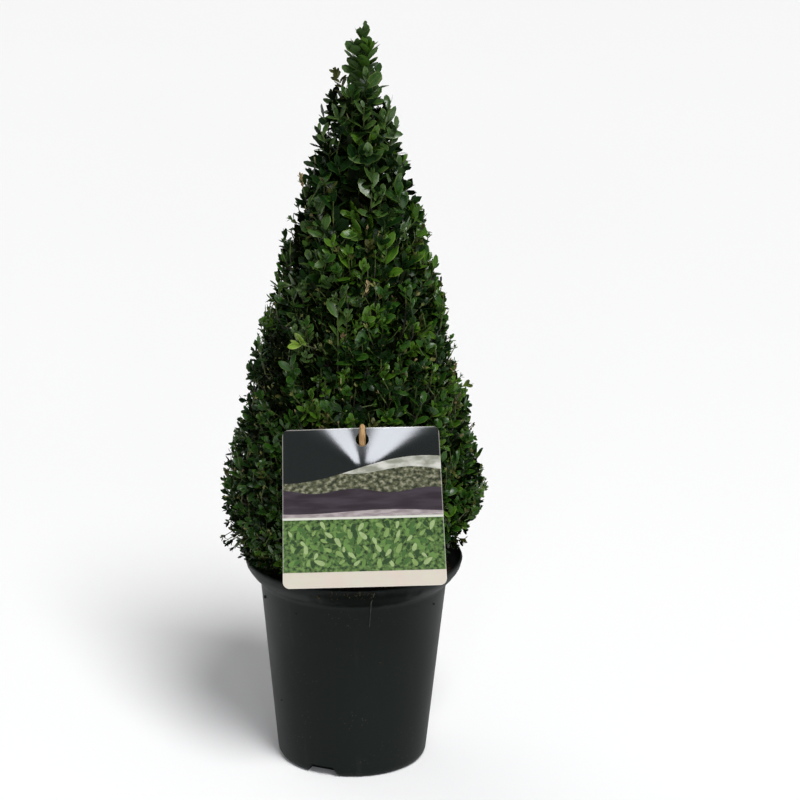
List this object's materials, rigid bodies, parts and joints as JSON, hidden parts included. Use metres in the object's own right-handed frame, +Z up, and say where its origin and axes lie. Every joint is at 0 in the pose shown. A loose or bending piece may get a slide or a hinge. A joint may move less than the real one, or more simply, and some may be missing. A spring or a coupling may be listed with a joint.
{
  "type": "potted boxwood cone topiary",
  "caption": "Evergreen box shrub clipped to a cone, growing in a round dark nursery pot, with a square picture tag hung on a short wooden peg.",
  "frame": {"origin": "centre of the pot's flat underside", "axes": "+Z up along the trunk, -Y towards the viewer and the tag's face, +X to the viewer's right"},
  "size_m": [0.2391, 0.2456, 0.6579],
  "materials": {
    "pot": "semi-matte moulded plastic, dark anthracite",
    "soil": "rough moist potting compost, dark brown",
    "bark": "finely fissured pale brown bark",
    "leaves": "small leathery leaves, dark to mid green with some fresh yellow-green ones",
    "tag": "glossy printed card, charcoal above a muted green band and a cream strip",
    "peg": "plain cut tan wood"
  },
  "bodies": {
    "root": {"pot": "pot", "potting_soil": "soil", "trunk": "bark", "foliage_lower": "leaves", "foliage_middle": "leaves", "foliage_upper": "leaves", "leading_shoot": "leaves", "bough_1": "bark", "bough_2": "bark", "bough_3": "bark", "bough_4": "bark", "bough_5": "bark", "bough_6": "bark", "picture_tag": "tag", "tag_peg": "peg"}
  },
  "joints": []
}
